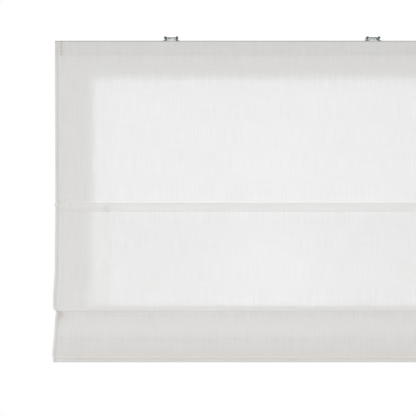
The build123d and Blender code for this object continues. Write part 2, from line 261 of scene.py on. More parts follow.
# Cloth: scales of its slubs and weave for each metre, and how much light comes through
SLUB_FINE = 520
SLUB_LONG = 16
SLUB_ACROSS_SHARE = 0.5
WEAVE_SCALE = 190.0
WEAVE_SHARE = 0.5
SLUB_RANGE = (0.45, 1.0)
CLOTH_COLOURS = ((0.85, 0.842, 0.826), (0.9, 0.893, 0.878))
CLOTH_GLOWS = ((0.88, 0.88, 0.88), (0.99, 0.99, 0.99))
CLOTH_THROUGH_SHARE = 0.46

# Where a ramp over two added noises starts and ends
SUM_RANGE = (0.7, 1.0)

# Metals by material slot: name, dark and light colour, roughness, scale of the grain and how metallic
METAL_FINISHES = {
    "rail": ("rail_anodised", (0.38, 0.38, 0.38), (0.46, 0.46, 0.455), 0.5, (12, 700, 700), 0.5),
    "clip_steel": ("zinc_plate", (0.56, 0.58, 0.575), (0.64, 0.66, 0.655), 0.62, (300, 60, 300), 1.0),
    "shaft_steel": ("drawn_steel", (0.45, 0.45, 0.46), (0.6, 0.6, 0.61), 0.35, (20, 900, 900), 1.0),
    "bar": ("rolled_bar", (0.66, 0.66, 0.67), (0.78, 0.78, 0.79), 0.4, (15, 700, 700), 1.0),
}

# Plastics by material slot: name, dark and light colour, roughness and share of light that comes through
PLASTIC_FINISHES = {
    "white_plastic": ("white_moulding", (0.74, 0.74, 0.73), (0.8, 0.8, 0.79), 0.5, 0.0),
    "clear_plastic": ("milky_moulding", (0.76, 0.76, 0.75), (0.83, 0.83, 0.82), 0.4, 0.25),
    "motor_plastic": ("motor_case", (0.6, 0.6, 0.6), (0.66, 0.66, 0.66), 0.55, 0.0),
    "batten_rod": ("glass_fibre_rod", (0.93, 0.93, 0.91), (0.97, 0.97, 0.95), 0.35, 0.95),
}

# Tapes by material slot: name, dark and light colour, scale of the threads and share of light through
TAPE_FINISHES = {
    "grip_tape": ("napped_tape", (0.5, 0.5, 0.49), (0.62, 0.62, 0.61), 1500, 0.0),
    "cloth": ("pocket_tape", (0.93, 0.925, 0.91), (0.98, 0.975, 0.96), 900, 0.62),
}

# Cord and threads: name, dark and light colour, and share of light that comes through
CORD_FINISH = ("braid", (0.7, 0.7, 0.68), (0.82, 0.82, 0.8), 0.0)
SEWING_FINISH = ("sewing_thread", (0.74, 0.73, 0.7), (0.83, 0.82, 0.8), 0.5)
TACK_FINISH = ("tack_thread", (0.34, 0.26, 0.21), (0.46, 0.37, 0.31), 0.0)
RING_FINISH = ("ring_thread", (0.96, 0.96, 0.95), (1.0, 1.0, 0.99), 0.0)

# Cut front and back faces of a clip: the painted light of its plate and the painted shade of its curled ends,
# the shares of its width from the middle and of its height where these begin, and how squarely a face has to
# look that way
CUT_PLATE_PAINTED_LIGHT = (0.78, 0.81, 0.8)
CUT_END_PAINTED_SHADE = (0.07, 0.072, 0.075)
CLIP_END_SHARE = 0.28
CLIP_PLATE_SHARE = 0.72
CUT_FACING = 0.8

# Boxes of the solids that the looks follow
RAIL_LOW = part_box("headrail_channel")[0]
FABRIC_LOW, FABRIC_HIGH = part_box("face_fabric")
TAPE_BOXES = [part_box(f"pocket_tape_{number}") for number in (1, 2, 3)]
HALF = FABRIC_HIGH.x
CLOTH_Y = RAIL_LOW.y - CLOTH_GAP
POCKET_Y = CLOTH_Y + POCKET_SETBACK
CROWN_Y = POCKET_Y - CROWN_WIDTH
POCKET_TOPS = [high.z + SEAM_MARGIN for low, high in TAPE_BOXES]
POCKET_FEET = [low.z - SEAM_MARGIN for low, high in TAPE_BOXES]


def smooth(low, high, value):
    """Smooth step from 0 at low to 1 at high, also where low is the larger."""
    t = np.clip((np.asarray(value, float) - low) / (high - low), 0, 1)
    return t * t * (3 - 2 * t)


def bump(middle, width, value):
    """Bell curve of height 1."""
    return np.exp(-(((np.asarray(value, float) - middle) / width) ** 2))


def at_least(share, value):
    """Lifts a value between 0 and 1 so that it starts from a share."""
    return share + (1 - share) * value


# Line of the cloth


def rounded_line(corners):
    """Points along a line of (y, z, radius) corners, with each corner rounded and each run divided."""
    places = [Vector(corner[:2]) for corner in corners]
    line = [places[0]]
    for before, here, after, corner in zip(places, places[1:], places[2:], corners[1:]):
        into = (here - before).normalized()
        out = (after - here).normalized()
        turn = into.angle_signed(out)
        cut = corner[2] * math.tan(abs(turn) / 2)
        start = here - into * cut
        side = Vector((-into.y, into.x)) * (-math.copysign(1, turn))
        centre = start + side * corner[2]
        arm = start - centre
        steps = max(1, math.ceil(abs(turn) / ARC_STEP))
        for step in range(steps + 1):
            angle = -turn * step / steps
            cos, sin = math.cos(angle), math.sin(angle)
            line.append(centre + Vector((arm.x * cos - arm.y * sin, arm.x * sin + arm.y * cos)))
    line.append(places[-1])
    divided = [line[0]]
    for before, here in zip(line, line[1:]):
        steps = max(1, math.ceil((here - before).length / ROW_PITCH))
        divided += [before.lerp(here, step / steps) for step in range(1, steps + 1)]
    return np.array([tuple(point) for point in divided])


def cloth_corners():
    """Corners of the back of the whole cloth, from the headrail down to the turned-up hem."""
    corners = [(CLOTH_Y, FABRIC_HIGH.z, 0)]

    def turn(front, back, level):
        for y in (front, back):
            corners.append((y, level, TURN_SHARE * abs(back - front)))

    def fold(foot, shape, next_top):
        front = POCKET_Y - shape["reach"]
        corners.append((POCKET_Y, foot, FOOT_ROUND))
        corners.append((front, shape["level"] + shape["upright"], SWEEP_ROUND))
        turn(front, front + shape["loop"], shape["level"])
        turn(CROWN_Y, POCKET_Y, next_top + CROWN_RISE)

    corners.append((CLOTH_Y, RAIL_LOW.z, SWEEP_ROUND))
    corners.append((POCKET_Y, POCKET_TOPS[0], SWEEP_ROUND))
    fold(POCKET_FEET[0], UPPER_FOLD, POCKET_TOPS[1])
    fold(POCKET_FEET[1], LOWER_FOLD, POCKET_TOPS[2])
    turn(POCKET_Y, POCKET_Y + HEM_GAP, FABRIC_LOW.z + CLOTH)
    corners.append((POCKET_Y + HEM_GAP, FABRIC_LOW.z + HEM_HEIGHT, 0))
    return corners


LINE = rounded_line(cloth_corners())
LENGTHS = np.concatenate([[0], np.cumsum(np.linalg.norm(np.diff(LINE, axis=0), axis=1))])
RUNS = np.gradient(LINE, LENGTHS, axis=0)
RUNS /= np.linalg.norm(RUNS, axis=1)[:, None]


def first_below(level, after):
    """Length along the cloth where the line first comes down to a level, past a given length."""
    rows = np.flatnonzero((LENGTHS > after) & (LINE[:, 1] <= level))
    return LENGTHS[rows[0]]


def lowest_between(start, end):
    """Length along the cloth of the lowest point between two lengths."""
    rows = np.flatnonzero((LENGTHS >= start) & (LENGTHS <= end))
    return LENGTHS[rows[np.argmin(LINE[rows, 1])]]


# Lengths along the cloth of the pocket tops, the seams at the pocket feet and the fold bottoms
RAIL_END = first_below(RAIL_LOW.z, 0)
TOPS = [first_below(POCKET_TOPS[0], 0)]
SEAMS = [first_below(POCKET_FEET[0] + SEAM_MARGIN, 0)]
FOLDS = []
for fold_shape, top, foot in zip((UPPER_FOLD, LOWER_FOLD), POCKET_TOPS[1:], POCKET_FEET[1:]):
    bottom = first_below(fold_shape["level"] + CLOTH, SEAMS[-1])
    FOLDS.append(lowest_between(bottom, bottom + 2 * fold_shape["loop"]))
    crown = FOLDS[-1] + (top - fold_shape["level"])
    TOPS.append(first_below(top, crown))
    SEAMS.append(first_below(foot + SEAM_MARGIN, TOPS[-1]))
END = LENGTHS[-1]
BOTTOM_SEAM = END - BOTTOM_SEAM_INSET
SEWN_ROWS = [TOPS[0], *SEAMS, BOTTOM_SEAM]

# Stretches of cloth that hang free: start, end, and over what lengths its waves begin, are full and fade
FREE_STRETCHES = [
    (RAIL_END, TOPS[0], -5.0 * MM, 60.0 * MM, 70.0 * MM),
    (SEAMS[0], FOLDS[0], 5.0 * MM, 60.0 * MM, 30.0 * MM),
    (SEAMS[1], FOLDS[1], 5.0 * MM, 40.0 * MM, 20.0 * MM),
]


# Surface of the cloth


def flare(s):
    """How far the side edges stand out, or in, along the cloth."""
    z = np.interp(s, LENGTHS, LINE[:, 1])
    down = np.clip((UPPER_FOLD["level"] - z) / SPREAD_DROP, 0, None)
    stands = []
    for start, spread, steps in FLARES:
        stand = start * MM + spread * MM * down**SPREAD_POWER
        for amount, begin, full in steps:
            stand = stand + amount * MM * smooth(begin * MM, full * MM, z)
        stands.append(stand)
    face = np.searchsorted([FOLDS[0], SEAMS[1], FOLDS[1]], s)
    return np.choose(face, stands) * smooth(SEAMS[0], SEAMS[0] + FLARE_BEGIN, s)


def ripple(x, s):
    """Soft unevenness of the hanging cloth, towards the room, with the puckers of the upper pocket."""
    free = 0
    for start, end, begin, full, fade in FREE_STRETCHES:
        free = free + smooth(start + begin, start + full, s) * smooth(end, end - fade, s)
    wave = np.sin(x * WAVE_ACROSS[0] + WAVE_ACROSS[1]) * np.cos(s * WAVE_ALONG[0] + WAVE_ALONG[1])
    for share, across, along, phase in SKEW_WAVES:
        wave = wave + share * np.sin(x * across + s * along + phase)
    return WAVE_HEIGHT * wave * free + pucker(x, s)


def pucker(x, s):
    """Small gathers at the ends of the upper pocket and at its rings."""
    edge = HALF - np.abs(x)
    lift = np.zeros(np.broadcast(x, s).shape)
    for depth, along, down, wide, tall in PUCKERS:
        lift = lift + depth * bump(along, wide, edge) * bump(TOPS[0] + down, tall, s)
    return lift


def groove(x, s):
    """Depth that the seams are drawn in."""
    depth = bump(SIDE_SEAM, GROOVE_WIDTH, HALF - np.abs(x))
    for level in SEWN_ROWS:
        depth = np.maximum(depth, bump(level, GROOVE_WIDTH, s))
    return GROOVE_DEPTH * depth


def surface(x, s, outer):
    """Places on the cloth at (x, s): its front at outer 1, and its back at outer 0.

    The back stands one layer further out at the side hems.
    """
    x, s = np.broadcast_arrays(np.asarray(x, float), np.asarray(s, float))
    y = np.interp(s, LENGTHS, LINE[:, 0])
    z = np.interp(s, LENGTHS, LINE[:, 1])
    run_y = np.interp(s, LENGTHS, RUNS[:, 0])
    run_z = np.interp(s, LENGTHS, RUNS[:, 1])
    edge = HALF - np.abs(x)
    hem = CLOTH * smooth(SIDE_HEM + SIDE_HEM_STEP, SIDE_HEM - SIDE_HEM_STEP, edge)
    out = ripple(x, s) + (CLOTH - groove(x, s) if outer else BACK_CLEAR - hem)
    place_x = x + np.sign(x) * flare(s) * (np.abs(x) / HALF) ** FLARE_POWER
    return np.stack([place_x, y + out * run_z, z - out * run_y], axis=-1)


def painted_shading(x, s):
    """Colour of the cloth as a share of its plain colour: painted shade and painted light at its stitches,
    seams, edges, folds, pocket and puckers.
    """
    edge = HALF - np.abs(x)
    z = np.interp(s, LENGTHS, LINE[:, 1])
    lower = (s > TOPS[1]) & (s <= FOLDS[1])
    flap = s > SEAMS[2]
    header = smooth(RAIL_END + TACK_SHADE_END, RAIL_END - TACK_SHADE_END, s)
    below_header = smooth(RAIL_END - SEAM_SHADE_END, RAIL_END + SEAM_SHADE_END, s)
    nook_shade = bump(NOOK_INSET, NOOK_WIDTH, edge) * bump(NOOK_LEVEL, NOOK_HEIGHT, z)
    tail = NOOK_TAIL_SHARE * bump(NOOK_TAIL_INSET, NOOK_TAIL_WIDTH, edge)
    tail = tail * smooth(*NOOK_TAIL_TOP, z) * smooth(*NOOK_TAIL_FOOT, z)
    roll = smooth(*ROLL_SHADE, z) * lower + ROLL_FLAP_SHARE * flap
    # how much of each painted shade and painted light lies at each place
    shares = {
        "top": smooth(*TOP_SHADE, s),
        "tack": bump(TACK_INSET, TACK_SHADE_WIDTH, edge) * header,
        "seam": bump(SIDE_SEAM, SEAM_SHADE_WIDTH, edge) * at_least(SEAM_HEADER_SHARE, below_header),
        "hem": bump(SIDE_HEM, HEM_SHADE_WIDTH, edge),
        "rim": smooth(*RIM_PAINTED_LIGHT, edge) * lower,
        "nook_shade": (nook_shade + tail) * lower,
        "under": smooth(*UNDER_SHADE, z) * lower,
        "roll": at_least(ROLL_EDGE_SHARE, smooth(*ROLL_INWARD, edge)) * roll,
        "pocket": bump(TOPS[0] + POCKET_LIGHT_DROP, POCKET_LIGHT_WIDTH, s),
        "painted_fold_light": sum(share * bump(FOLDS[fold] + place, width, s) for fold, place, width, share in PAINTED_FOLD_LIGHTS),
        "flap_end_shade": smooth(*CAP_SHADE, edge) * flap,
        "pucker": -pucker(x, s) / MM,
    }
    shade = np.zeros((*np.shape(s), 3))
    for name, share in shares.items():
        shade += share[..., None] * np.array(PAINTED_SHADES[name])
    return 1 - shade


def columns():
    """Places across the cloth, closer together at the hems."""
    inner = HALF - EDGE_COLUMNS[-1]
    count = math.ceil(2 * inner / COLUMN_PITCH)
    middle = np.linspace(-inner, inner, count + 1)[1:-1]
    left = [-HALF + inset for inset in EDGE_COLUMNS]
    return np.concatenate([left, middle, [-x for x in reversed(left)]])


def rows_between(start, end):
    """Lengths along the cloth of the grid's rows, with extra rows at the seams."""
    extra = [level + share * GROOVE_WIDTH for level in SEWN_ROWS for share in SEAM_ROW_SHARES]
    rows = np.concatenate([LENGTHS, extra, [start, end]])
    rows = np.unique(np.round(rows[(rows >= start) & (rows <= end)], ROW_DECIMALS))
    keep = np.concatenate([[True], np.diff(rows) > LEAST_ROW_PITCH])
    return rows[keep]


def mesh_object(name, vertices, faces, material):
    """A new smooth-shaded mesh object."""
    mesh = bpy.data.meshes.new(name)
    mesh.from_pydata(vertices, [], faces)
    mesh.validate()
    mesh.shade_smooth()
    mesh.materials.append(material)
    piece = bpy.data.objects.new(name, mesh)
    bpy.context.scene.collection.objects.link(piece)
    return piece


def cloth_piece(name, start, end, material):
    """A closed sheet of the cloth between two lengths along it, and the length along it of each vertex.

    The sheet carries a map of (x, length) in metres, and its painted shade and painted light as a colour
    attribute.
    """
    x, s = np.meshgrid(columns(), rows_between(start, end))
    tall, wide = x.shape
    front = surface(x, s, 1).reshape(-1, 3)
    back = surface(x, s, 0).reshape(-1, 3)
    vertices = np.concatenate([front, back])
    offset = wide * tall
    index = np.arange(offset).reshape(tall, wide)
    corners = [index[:-1, :-1], index[1:, :-1], index[1:, 1:], index[:-1, 1:]]
    quads = np.stack(corners, axis=-1).reshape(-1, 4)
    rim = np.concatenate([index[0, :-1], index[:-1, -1], index[-1, :0:-1], index[:0:-1, 0]])
    after = np.roll(rim, -1)
    walls = np.stack([rim, after, after + offset, rim + offset], axis=-1)
    faces = np.concatenate([quads, quads[:, ::-1] + offset, walls])
    piece = mesh_object(name, vertices.tolist(), faces.tolist(), material)
    piece.data.set_sharp_from_angle(angle=SHARP_ANGLE)
    loops = np.zeros(len(piece.data.loops), np.int32)
    piece.data.loops.foreach_get("vertex_index", loops)
    flat = np.concatenate([np.stack([x, s], axis=-1).reshape(-1, 2)] * 2)
    colours = np.concatenate([painted_shading(x, s).reshape(-1, 3)] * 2)
    colours = np.column_stack([colours, np.ones(len(colours))]).astype(np.float32)
    shades = piece.data.color_attributes.new("Tint", "FLOAT_COLOR", "POINT")
    shades.data.foreach_set("color", colours.ravel())
    layer = piece.data.uv_layers.new(name="Cloth")
    layer.data.foreach_set("uv", flat[loops].astype(np.float32).ravel())
    return piece, np.concatenate([s.ravel(), s.ravel()])


# Stitching


def tube_faces(first, rings, sides):
    """Faces of a closed tube, from its first vertex, its number of rings and the sides of each."""
    faces = []
    for low in range(first, first + (rings - 1) * sides, sides):
        for k in range(sides):
            after = (k + 1) % sides
            faces.append((low + k, low + after, low + sides + after, low + sides + k))
    last = first + (rings - 1) * sides
    faces.append(tuple(first + k for k in reversed(range(sides))))
    faces.append(tuple(last + k for k in range(sides)))
    return faces


def stitches(name, places, normals, material):
    """Short rounded threads from each even place to the next one, lying on the cloth."""
    vertices, faces = [], []
    angles = np.arange(THREAD_SIDES) * 2 * math.pi / THREAD_SIDES
    ring = [(math.cos(angle), math.sin(angle)) for angle in angles]
    for start, end, lift in zip(places[0::2], places[1::2], normals[0::2]):
        faces += tube_faces(len(vertices), len(THREAD_STATION_SHARES), THREAD_SIDES)
        run = end - start
        side = np.cross(run, lift)
        side /= np.linalg.norm(side)
        for share, size in THREAD_STATION_SHARES:
            middle = start + run * share + lift * (THREAD_LIFT + THREAD * (size - THREAD_SINK_SHARE))
            for cos, sin in ring:
                vertices.append(middle + THREAD * size * (side * cos + lift * sin))
    return mesh_object(name, [tuple(v) for v in vertices], faces, material)


def normals_at(x, s, outer):
    """Unit normals of the cloth, out of its front or back."""
    along_x = surface(x + NORMAL_STEP, s, outer) - surface(x - NORMAL_STEP, s, outer)
    along_s = surface(x, s + NORMAL_STEP, outer) - surface(x, s - NORMAL_STEP, outer)
    normal = np.cross(along_s, along_x)
    normal /= np.linalg.norm(normal, axis=-1)[..., None]
    return normal if outer else -normal


def stitch_ends(start, end, length=STITCH, gap=STITCH_GAP):
    """Start and end of each stitch in a row."""
    pitch = length + gap
    count = int((end - start) / pitch)
    firsts = start + (end - start - count * pitch + gap) / 2 + np.arange(count) * pitch
    return np.stack([firsts, firsts + length], axis=-1).ravel()


def row_across(name, level, material, outer=1):
    """A row of stitches from side to side at one length along the cloth."""
    x = stitch_ends(-HALF + SIDE_SEAM, HALF - SIDE_SEAM)
    s = np.full_like(x, level)
    return stitches(name, surface(x, s, outer), normals_at(x, s, outer), material)


def rows_down(name, start, end, inset, material, length=STITCH, gap=STITCH_GAP):
    """A row of stitches down each side, and the length along the cloth of each vertex."""
    s = stitch_ends(start, end, length, gap)
    places, normals = [], []
    for side in (-1, 1):
        x = np.full_like(s, side * (HALF - inset))
        places.append(surface(x, s, 1))
        normals.append(normals_at(x, s, 1))
    piece = stitches(name, np.concatenate(places), np.concatenate(normals), material)
    stitch_vertices = THREAD_SIDES * len(THREAD_STATION_SHARES)
    return piece, np.tile(np.repeat(s[0::2] + length / 2, stitch_vertices), 2)


def ring_tacks(name, level, material):
    """Close upright stitches that hold the cord rings to a pocket."""
    places, normals = [], []
    for cord in ("left", "right"):
        low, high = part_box(f"lift_cord_{cord}")
        middle = (low.x + high.x) / 2
        for number in range(TACK_THREADS):
            x = np.full(2, middle + (number - (TACK_THREADS - 1) / 2) * TACK_PITCH)
            s = np.array([level - TACK_LENGTH / 2, level + TACK_LENGTH / 2])
            places.append(surface(x, s, 1))
            normals.append(normals_at(x, s, 1))
    return stitches(name, np.concatenate(places), np.concatenate(normals), material)


def share_out(piece):
    """Bakes the piece's transform into its mesh."""
    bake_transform(piece)


# Materials


def join(tree, operation, *values):
    """The result of a math node, whose values are other nodes' results or plain numbers."""
    node = tree.nodes.new("ShaderNodeMath")
    node.operation = operation
    for socket, value in zip(node.inputs, values):
        if isinstance(value, (int, float)):
            socket.default_value = value
        else:
            tree.links.new(value, socket)
    return node.outputs[0]


def seen_rays(tree):
    """1 for rays that show a thing straight, in a reflection or through clear material, and else 0."""
    path = tree.nodes.new("ShaderNodeLightPath")
    clear = join(tree, "SUBTRACT", path.outputs["Is Transmission Ray"], path.outputs["Is Diffuse Ray"])
    seen = join(tree, "MAXIMUM", path.outputs["Is Camera Ray"], path.outputs["Is Glossy Ray"])
    return join(tree, "MAXIMUM", seen, clear)


class Nodes:
    """A material's node tree, with short calls for the nodes that the finishes share."""

    def __init__(self, name):
        self.material = bpy.data.materials.new(name)
        self.material.use_nodes = True
        self.tree = self.material.node_tree
        self.shader = self.tree.nodes["Principled BSDF"]
        self.output = self.tree.nodes["Material Output"]

    def add(self, kind, **values):
        """A new node with the given properties."""
        node = self.tree.nodes.new(kind)
        for key, value in values.items():
            setattr(node, key, value)
        return node

    def link(self, source, target):
        self.tree.links.new(source, target)

    def math(self, operation, *values):
        return join(self.tree, operation, *values)

    def noise(self, vector, scale, detail):
        """Noise with its own scale along each axis."""
        mapping = self.add("ShaderNodeMapping")
        mapping.inputs["Scale"].default_value = scale
        self.link(vector, mapping.inputs["Vector"])
        node = self.add("ShaderNodeTexNoise")
        node.inputs["Scale"].default_value = 1.0
        node.inputs["Detail"].default_value = detail
        node.inputs["Roughness"].default_value = 0.55
        self.link(mapping.outputs[0], node.inputs["Vector"])
        return node.outputs["Fac"]

    def ramp(self, factor, low, high, dark, light):
        """Colour from dark to light as the factor goes from low to high."""
        node = self.add("ShaderNodeValToRGB")
        first, last = node.color_ramp.elements
        first.position, last.position = low, high
        first.color, last.color = (*dark, 1), (*light, 1)
        self.link(factor, node.inputs[0])
        return node.outputs["Color"]

    def blend(self, first, second, factor=None, kind="MIX"):
        """Mixes two colours, a plain one given as three numbers; fully where there is no factor."""
        node = self.add("ShaderNodeMix", data_type="RGBA", blend_type=kind)
        sockets = {socket.identifier: socket for socket in node.inputs}
        if factor is None:
            sockets["Factor_Float"].default_value = 1.0
        else:
            self.link(factor, sockets["Factor_Float"])
        for name, colour in (("A_Color", first), ("B_Color", second)):
            if isinstance(colour, tuple):
                sockets[name].default_value = (*colour, 1)
            else:
                self.link(colour, sockets[name])
        return next(socket for socket in node.outputs if socket.identifier == "Result_Color")

    def relief(self, height, strength, distance):
        """Normals of a surface that rises with the height."""
        node = self.add("ShaderNodeBump")
        node.inputs["Strength"].default_value = strength
        node.inputs["Distance"].default_value = distance
        self.link(height, node.inputs["Height"])
        return node.outputs["Normal"]

    def paint(self, colour, normal):
        """Gives the shader its colour and its normals."""
        self.link(colour, self.shader.inputs["Base Color"])
        self.link(normal, self.shader.inputs["Normal"])

    def uneven_roughness(self, factor, spread, least):
        """Roughness that goes up from the least one by a spread, with the factor."""
        self.link(self.math("MULTIPLY_ADD", factor, spread, least), self.shader.inputs["Roughness"])

    def through(self, colour, share, normal=None):
        """Mixes in a share of light that comes through from behind, if there is one."""
        if not share:
            return
        glow = self.add("ShaderNodeBsdfTranslucent")
        self.link(colour, glow.inputs["Color"])
        if normal is not None:
            self.link(normal, glow.inputs["Normal"])
        mix = self.add("ShaderNodeMixShader")
        mix.inputs[0].default_value = share
        self.link(self.shader.outputs[0], mix.inputs[1])
        self.link(glow.outputs[0], mix.inputs[2])
        self.link(mix.outputs[0], self.output.inputs["Surface"])


def cloth_material():
    """Off-white plain weave with uneven slubs both ways, that lets light through, times the painted shade and
    painted light of its colour attribute.
    """
    n = Nodes("linen_cloth")
    place = n.add("ShaderNodeUVMap", uv_map="Cloth").outputs[0]
    slub_down = n.noise(place, scale=(SLUB_FINE, SLUB_LONG, 1), detail=4.0)
    slub_across = n.noise(place, scale=(SLUB_LONG, SLUB_FINE, 1), detail=4.0)
    threads = n.math("ADD", slub_down, n.math("MULTIPLY", slub_across, SLUB_ACROSS_SHARE))
    weaves = []
    for direction in ("X", "Y"):
        weave = n.add("ShaderNodeTexWave", wave_type="BANDS", bands_direction=direction)
        weave.inputs["Scale"].default_value = WEAVE_SCALE
        weave.inputs["Distortion"].default_value = 1.6
        weave.inputs["Detail Scale"].default_value = 0.6
        n.link(place, weave.inputs["Vector"])
        weaves.append(weave.outputs["Fac"])
    height = n.math("ADD", threads, n.math("MULTIPLY", n.math("MULTIPLY", *weaves), WEAVE_SHARE))
    colour = n.ramp(threads, *SLUB_RANGE, *CLOTH_COLOURS)
    normal = n.relief(height, strength=0.35, distance=0.25 * MM)
    # painted shade and painted light, multiplied into the cloth's colour
    painted_shading_colour = n.add("ShaderNodeVertexColor", layer_name="Tint").outputs["Color"]
    n.paint(n.blend(colour, painted_shading_colour, kind="MULTIPLY"), normal)
    n.shader.inputs["Roughness"].default_value = 0.9
    n.shader.inputs["Specular IOR Level"].default_value = 0.2
    n.shader.inputs["Sheen Weight"].default_value = 0.08
    n.through(n.ramp(threads, *SLUB_RANGE, *CLOTH_GLOWS), CLOTH_THROUGH_SHARE, normal)
    return n.material


def thread_material(name, dark, light, share):
    """Twisted sewing thread or braided cord, with or without light coming through."""
    n = Nodes(name)
    place = n.add("ShaderNodeTexCoord").outputs["Object"]
    twist = n.noise(place, scale=(900, 900, 900), detail=2.0)
    colour = n.ramp(twist, low=0.35, high=0.65, dark=dark, light=light)
    n.paint(colour, n.relief(twist, strength=0.4, distance=0.1 * MM))
    n.shader.inputs["Roughness"].default_value = 0.8
    n.through(colour, share)
    return n.material


def tape_material(name, dark, light, grain, share):
    """Woven tape: fine threads both ways, with or without light coming through."""
    n = Nodes(name)
    place = n.add("ShaderNodeTexCoord").outputs["Object"]
    across = n.noise(place, scale=(grain, grain, 60), detail=3.0)
    along = n.noise(place, scale=(60, grain, grain), detail=3.0)
    weave = n.math("ADD", across, along)
    colour = n.ramp(weave, *SUM_RANGE, dark, light)
    normal = n.relief(weave, strength=0.5, distance=0.2 * MM)
    n.paint(colour, normal)
    n.shader.inputs["Roughness"].default_value = 0.92
    n.shader.inputs["Sheen Weight"].default_value = 0.1
    n.through(colour, share, normal)
    return n.material


def plastic_material(name, dark, light, roughness, share):
    """Moulded plastic: fine grain, faint flow marks, with or without light coming through."""
    n = Nodes(name)
    place = n.add("ShaderNodeTexCoord").outputs["Object"]
    flow = n.noise(place, scale=(70, 70, 70), detail=4.0)
    grain = n.noise(place, scale=(1800, 1800, 1800), detail=2.0)
    colour = n.ramp(flow, low=0.3, high=0.7, dark=dark, light=light)
    n.paint(colour, n.relief(grain, strength=0.12, distance=0.08 * MM))
    n.uneven_roughness(flow, spread=0.2, least=roughness - 0.1)
    n.through(colour, share)
    return n.material


def metal_material(name, dark, light, roughness, stretch, metallic, cut=False):
    """Metal with a drawn or plated grain, and on a clip with painted light and shade on its cut faces."""
    n = Nodes(name)
    coordinates = n.add("ShaderNodeTexCoord")
    place = coordinates.outputs["Object"]
    grain = n.noise(place, stretch, detail=4.0)
    spangle = n.noise(place, scale=(240, 240, 240), detail=2.0)
    colour = n.ramp(n.math("ADD", grain, spangle), *SUM_RANGE, dark, light)
    if cut:
        colour = cut_faces(n, coordinates, colour)
    n.paint(colour, n.relief(grain, strength=0.1, distance=0.05 * MM))
    n.uneven_roughness(spangle, spread=0.25, least=roughness - 0.12)
    n.shader.inputs["Metallic"].default_value = metallic
    return n.material


def cut_faces(n, coordinates, colour):
    """Colour of a clip, with painted light on the cut front and back of its plate and painted shade on those
    of its curled ends.
    """
    normal = n.add("ShaderNodeSeparateXYZ")
    n.link(coordinates.outputs["Normal"], normal.inputs[0])
    facing = n.math("GREATER_THAN", n.math("ABSOLUTE", normal.outputs["Y"]), CUT_FACING)
    within = n.add("ShaderNodeSeparateXYZ")
    n.link(coordinates.outputs["Generated"], within.inputs[0])
    from_middle = n.math("ABSOLUTE", n.math("SUBTRACT", within.outputs["X"], 0.5))
    at_end = n.math("GREATER_THAN", from_middle, CLIP_END_SHARE)
    on_plate = n.math("GREATER_THAN", within.outputs["Z"], CLIP_PLATE_SHARE)
    colour = n.blend(colour, CUT_PLATE_PAINTED_LIGHT, n.math("MULTIPLY", facing, on_plate))
    return n.blend(colour, CUT_END_PAINTED_SHADE, n.math("MULTIPLY", facing, at_end))


def finish_nodes():
    """A procedural finish on each solid that stays in view, by its material slot in the record."""
    finishes = {}
    for slot, values in METAL_FINISHES.items():
        finishes[slot] = metal_material(*values, cut=slot == "clip_steel")
    for slot, values in PLASTIC_FINISHES.items():
        finishes[slot] = plastic_material(*values)
    for slot, values in TAPE_FINISHES.items():
        finishes[slot] = tape_material(*values)
    finishes["cord"] = thread_material(*CORD_FINISH)
    for row in frame["record"]["subparts"]:
        piece = frame["nodes"][row["node"]]
        piece.data.materials.clear()
        piece.data.materials.append(finishes[row["material_slot"]])
    return finishes


# Pieces


def lift_cord(side, name, material):
    """The cord from its spool down through the rings, in a span for each pair of bodies, and its turns."""
    low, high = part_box(f"lift_cord_{name}")
    stop_low, stop_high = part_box(f"cord_stop_{name}")
    spool_low, spool_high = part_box(f"spool_{name}")
    x = (low.x + high.x) / 2
    y = (stop_low.y + stop_high.y) / 2
    shaft = (spool_low + spool_high) / 2
    levels = [shaft.z, *(top - RING_DROP for top in POCKET_TOPS[:2]), stop_low.z]
    bodies = ["headrail", "upper_batten", "middle_batten", "lower_batten"]
    spans = zip(levels, levels[1:], bodies, bodies[1:])
    for number, (top, bottom, body_a, body_b) in enumerate(spans, start=1):
        places = [Vector((x, y, z)) for z in np.linspace(top, bottom, CORD_POINTS)]
        piece, shares = tube(f"lift_cord_{name}_{number}", places, material)
        share_out(piece)
        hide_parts(f"lift_cord_{name}")
    steps = WRAP_STEPS * WRAP_TURNS
    turns = []
    for step in range(steps + 1):
        angle = 2 * math.pi * step / WRAP_STEPS
        along = side * (step / steps) * WRAP_TURNS * WRAP_PITCH
        turns.append(shaft + Vector((along, -WRAP_RADIUS * math.cos(angle), WRAP_RADIUS * math.sin(angle))))
    winding, _ = tube(f"cord_turns_{name}", turns, material)
    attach(winding, "lift_drive")


def tube(name, places, material):
    """A closed round tube along points, and each vertex's share of the way along."""
    vertices, shares = [], []
    for number, place in enumerate(places):
        before = places[max(number - 1, 0)]
        after = places[min(number + 1, len(places) - 1)]
        run = (after - before).normalized()
        side = run.cross(FLAT_ASIDE if abs(run.z) < STEEP else STEEP_ASIDE).normalized()
        rise = side.cross(run)
        for k in range(CORD_SIDES):
            angle = 2 * math.pi * k / CORD_SIDES
            vertices.append(place + CORD_RADIUS * (side * math.cos(angle) + rise * math.sin(angle)))
            shares.append(number / (len(places) - 1))
    faces = tube_faces(0, len(places), CORD_SIDES)
    return mesh_object(name, [tuple(v) for v in vertices], faces, material), shares


def sew(piece, body):
    """Lets a row of stitches go with a body."""
    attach(piece, body)


